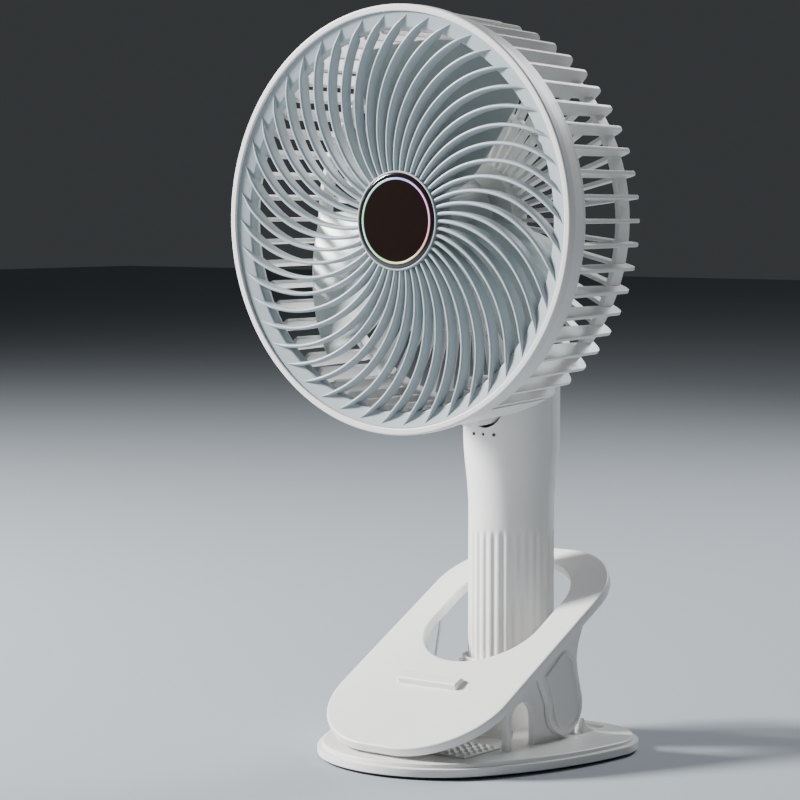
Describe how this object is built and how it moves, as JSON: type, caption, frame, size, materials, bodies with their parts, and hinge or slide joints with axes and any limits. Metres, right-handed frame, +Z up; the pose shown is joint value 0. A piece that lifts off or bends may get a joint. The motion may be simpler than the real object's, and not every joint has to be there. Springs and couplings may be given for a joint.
{
  "type": "desk fan",
  "caption": "Small battery desk fan: a round caged head tilts on a fluted handle that swivels in a flat base with a sprung clip lever.",
  "frame": {"origin": "on the underside of the foot pad, on the handle's swivel axis", "axes": "+Z up along the swivel axis, the fan blows towards -Y, +X to the right as seen from the front"},
  "size_m": [0.182, 0.1427, 0.325],
  "materials": {
    "white_plastic": "satin moulded plastic, faintly warm white",
    "cover_plastic": "satin moulded plastic, a shade greyer",
    "grille_plastic": "satin moulded plastic, pale blue-grey",
    "blade_plastic": "semi-gloss moulded plastic, pale grey with a hint of green",
    "badge_gloss": "high-gloss near-black disc",
    "ring_pearl": "pearl ring that shifts from pink to green",
    "bright_steel": "zinc-plated or ground steel",
    "bearing_steel": "ground bearing steel",
    "rotor_steel": "stamped steel",
    "copper_wire": "enamelled copper wire",
    "magnet": "sintered magnet",
    "board": "circuit board with green solder mask",
    "dark_plastic": "dark moulded plastic",
    "cell_sleeve": "shrink sleeve of the cell",
    "black_rubber": "soft black rubber",
    "grey_rubber": "soft grey rubber"
  },
  "bodies": {
    "base": {"base_frame": "white_plastic", "foot_pad": "black_rubber", "ballast_plate": "bright_steel", "jaw_grip": "white_plastic", "socket_collar": "white_plastic", "lever_pins": "bright_steel", "lever_springs": "bright_steel"},
    "handle": {"handle_front_shell": "white_plastic", "handle_rear_shell": "white_plastic", "handle_foot": "white_plastic", "handle_screws": "bright_steel", "battery_cradle": "dark_plastic", "battery_cell": "cell_sleeve", "control_board": "board", "tact_switch": "dark_plastic", "charging_port": "bright_steel", "indicator_lights": "dark_plastic", "hinge_yoke": "cover_plastic", "tilt_pin": "bright_steel", "tilt_washers": "grey_rubber", "swivel_washer": "bright_steel", "swivel_screw": "bright_steel"},
    "power_button": {"power_button": "cover_plastic"},
    "head": {"front_rim": "white_plastic", "front_grille": "grille_plastic", "hub_badge": "badge_gloss", "badge_ring": "ring_pearl", "rear_cage": "white_plastic", "motor_cover": "white_plastic", "cover_screws": "bright_steel", "motor_board": "board", "stator_core": "rotor_steel", "stator_windings": "copper_wire", "motor_bearings": "bearing_steel"},
    "impeller": {"impeller": "blade_plastic", "impeller_nut": "bright_steel", "motor_shaft": "bright_steel", "rotor_can": "rotor_steel", "magnet_ring": "magnet", "shaft_clip": "bright_steel"},
    "clip_lever": {"clip_lever": "white_plastic", "lever_pad": "grey_rubber", "side_cover_left": "cover_plastic", "side_cover_right": "cover_plastic"}
  },
  "joints": [
    {"name": "handle_swivel", "type": "hinge", "parent": "base", "child": "handle", "pos_m": [0, 0, 0.02], "axis": [0, 0, 1], "range_deg": [-90, 90]},
    {"name": "head_tilt", "type": "hinge", "parent": "handle", "child": "head", "pos_m": [0, -0.006, 0.151], "axis": [-1, 0, 0], "range_deg": [-4, 18]},
    {"name": "impeller_spin", "type": "hinge", "parent": "head", "child": "impeller", "pos_m": [0, -0.0565, 0.234], "axis": [0, -1, 0], "continuous": true},
    {"name": "power_button_press", "type": "slide", "parent": "handle", "child": "power_button", "axis": [0, -1, 0], "range_m": [0, 0.0009], "stiffness_N_per_m": 600},
    {"name": "clip_open", "type": "hinge", "parent": "base", "child": "clip_lever", "pos_m": [0, -0.018, 0.021], "axis": [-1, 0, 0], "range_deg": [0, 22], "stiffness_Nm_per_rad": 1.2, "springref_deg": -28.65, "deforming": ["lever_springs"]}
  ]
}
